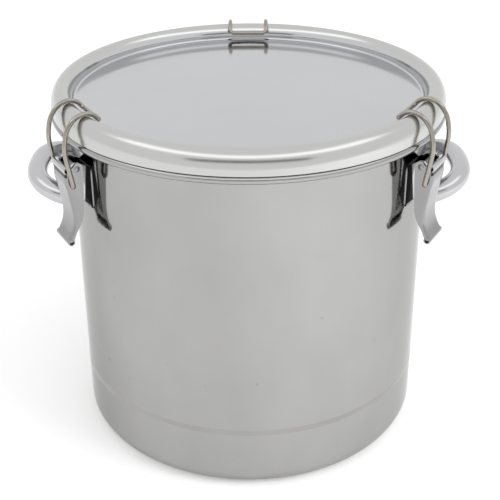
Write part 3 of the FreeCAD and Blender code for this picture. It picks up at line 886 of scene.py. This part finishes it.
bail_arm = [by_wall(19.2, 22.3), by_wall(21.9, 5.3), by_crest(15.3, -11.0), by_crest(8.2, -2.1),
            by_crest(-0.6, 0.8), by_crest(-8.4, -1.7)]
bail_hook = (BEAD_INNER_R - 3.2 - WIRE_R, PANEL_Z + 5.4 + WIRE_R)
near = np.array([(r, -BAIL_HALF_WIDTH, z) for r, z in [BAIL_PIVOT] + bail_arm + [bail_hook]])
stub = np.array([(BAIL_PIVOT[0], -BAIL_STUB_Y, BAIL_PIVOT[1])])
far_side = np.array([1, -1, 1])
corners = np.vstack([stub, near, near[::-1] * far_side, stub * far_side])
hook = len(near)
fixed = {1: BAIL_END_BEND_R, hook: BAIL_HOOK_BEND_R, hook + 1: BAIL_HOOK_BEND_R,
         len(corners) - 2: BAIL_END_BEND_R}
bail_route = bent(corners, fixed)
wire_steel = steel("wire_steel", (0.39, 0.365, 0.325), (0.32, 0.30, 0.262), 0.10, 0.18,
                   (200.0, 200.0, 200.0), 0.05, 60.0)
for where, degrees in CLIPS.items():
    wire = skin(tube(bail_route, WIRE_R, 24), [bail_route[0], bail_route[-1]])
    piece(where + "_clip_wire", [turned(wire, degrees)], where + "_bail", where + "_bail",
          wire_steel)

# ---- studio ----
# White paper under a white sky that is brighter to the right and has a soft light strip round
# the front, two soft lamps, and one grey card that only the steel shows.

SKY_LEFT, SKY_RIGHT = 0.72, 1.10
STRIP_UP = math.sin(math.radians(46))
STRIP_HALF, STRIP_END = 0.05, 0.16
STRIP_GAIN = 0.85
STRIP_START_Y, STRIP_FULL_Y = 0.30, -0.05
PAPER_GLOW = 0.26
PAPER_REACH = 6.0
PAPER_FRONT = -0.95         # the paper ends in front, where only reflections look


def shown(nodes):
    """1 for camera, glossy and transmission rays, 0 for the rays that light things."""
    path = nodes.add("ShaderNodeLightPath")
    seen = arithmetic(nodes, "MAXIMUM", path.outputs["Is Camera Ray"],
                      path.outputs["Is Glossy Ray"])
    return arithmetic(nodes, "MAXIMUM", seen, path.outputs["Is Transmission Ray"])


world = bpy.data.worlds.new("white_sky")
bpy.context.scene.world = world
world.use_nodes = True
sky = Nodes(world.node_tree)
background = sky.tree.nodes["Background"]
background.inputs["Color"].default_value = (1, 1, 1, 1)
way = sky.add("ShaderNodeSeparateXYZ",
              {"Vector": sky.add("ShaderNodeTexCoord").outputs["Generated"]}).outputs
slope = remap(sky, way["X"], -1.0, 1.0, SKY_LEFT, SKY_RIGHT)
level = sky.add("ShaderNodeMix", {"Factor": shown(sky), "A": slope}, {"B": 1.0})
off_strip = arithmetic(sky, "ABSOLUTE", arithmetic(sky, "SUBTRACT", way["Z"], STRIP_UP))
strip = remap(sky, off_strip, STRIP_HALF, STRIP_END, STRIP_GAIN, 0.0,
              interpolation_type="SMOOTHSTEP")
front = remap(sky, way["Y"], STRIP_START_Y, STRIP_FULL_Y, 0.0, 1.0,
              interpolation_type="SMOOTHSTEP")
light = arithmetic(sky, "MULTIPLY_ADD", strip, front, level.outputs["Result"])
sky.tree.links.new(light, background.inputs["Strength"])


def staged(name, corners, material):
    """A flat four-cornered thing that isn't part of the can."""
    mesh = bpy.data.meshes.new(name)
    mesh.from_pydata([tuple(corner) for corner in corners], [], [(0, 1, 2, 3)])
    mesh.materials.append(material)
    made = bpy.data.objects.new(name, mesh)
    bpy.context.scene.collection.objects.link(made)
    return made


paper = bpy.data.materials.new("floor_paper")
paper.use_nodes = True
paper.node_tree.nodes.clear()
sheet = Nodes(paper.node_tree)
matte = sheet.add("ShaderNodeBsdfDiffuse", values={"Color": (0.80, 0.80, 0.80, 1)})
glow = sheet.add("ShaderNodeEmission",
                 {"Strength": arithmetic(sheet, "MULTIPLY", shown(sheet), PAPER_GLOW)},
                 {"Color": (1, 1, 1, 1)})
both = sheet.add("ShaderNodeAddShader", {0: matte.outputs[0], 1: glow.outputs[0]})
sheet.add("ShaderNodeOutputMaterial", {"Surface": both.outputs[0]})
staged("floor", [(-PAPER_REACH, PAPER_FRONT, 0), (PAPER_REACH, PAPER_FRONT, 0),
                 (PAPER_REACH, PAPER_REACH, 0), (-PAPER_REACH, PAPER_REACH, 0)], paper)

# The card stands in front, 20 degrees up and facing the can, seen only in its steel.
CARD_UP = math.radians(20)
CARD_FAR, CARD_HALF_WIDTH, CARD_HALF_HEIGHT = 2.0, 1.2, 0.225
CARD_AIM = Vector((0, 0, 0.2))
card_paint = Finish("card_paint")
card_paint.shader.inputs["Base Color"].default_value = (0.26, 0.26, 0.26, 1)
card_paint.shader.inputs["Roughness"].default_value = 1.0
to_card = Vector((0, -math.cos(CARD_UP), math.sin(CARD_UP)))
card_side = Vector((-CARD_HALF_WIDTH, 0, 0))
card_up = CARD_HALF_HEIGHT * Vector((0, math.sin(CARD_UP), math.cos(CARD_UP)))
card_middle = CARD_AIM + CARD_FAR * to_card
card = staged("card_front", [card_middle + a * card_side + b * card_up
                             for a, b in ((-1, -1), (1, -1), (1, 1), (-1, 1))], card_paint.material)
card.visible_camera = False
card.visible_diffuse = False
card.visible_shadow = False
card.visible_transmission = False

LAMP_SIZE = 0.8
for name, place, target, watts in (
        ("lamp_left", (-1.35, -0.75, 1.2), (-0.3, -0.3, 0.1), 2),
        ("lamp_right", (1.25, -0.75, 1.1), (0.35, -0.35, 0.1), 10)):
    data = bpy.data.lights.new(name, "AREA")
    data.size = LAMP_SIZE
    data.energy = watts
    lamp = bpy.data.objects.new(name, data)
    lamp.location = place
    lamp.rotation_euler = (Vector(target) - Vector(place)).to_track_quat("-Z", "Y").to_euler()
    lamp.visible_glossy = False
    bpy.context.scene.collection.objects.link(lamp)

# ---- camera ----
# Raised well above the can, aimed at its middle and turned a hair about its own line of sight.

CAMERA_PLACE = Vector((0.0, -0.85243, 0.60571))
CAMERA_AIM = Vector((0.00055, 0.0, 0.1486))
CAMERA_ROLL = math.radians(-0.31)
FOCAL_LENGTH, SENSOR_WIDTH = 76.56, 36.0
camera_data = bpy.data.cameras.new("camera")
camera_data.sensor_width = SENSOR_WIDTH
camera_data.lens = FOCAL_LENGTH
camera = bpy.data.objects.new("camera", camera_data)
camera.location = CAMERA_PLACE
camera.rotation_mode = "QUATERNION"
camera.rotation_quaternion = ((CAMERA_AIM - CAMERA_PLACE).to_track_quat("-Z", "Y")
                              @ Quaternion((0, 0, 1), CAMERA_ROLL))
bpy.context.scene.collection.objects.link(camera)
bpy.context.scene.camera = camera

bpy.context.scene.view_settings.view_transform = "Standard"
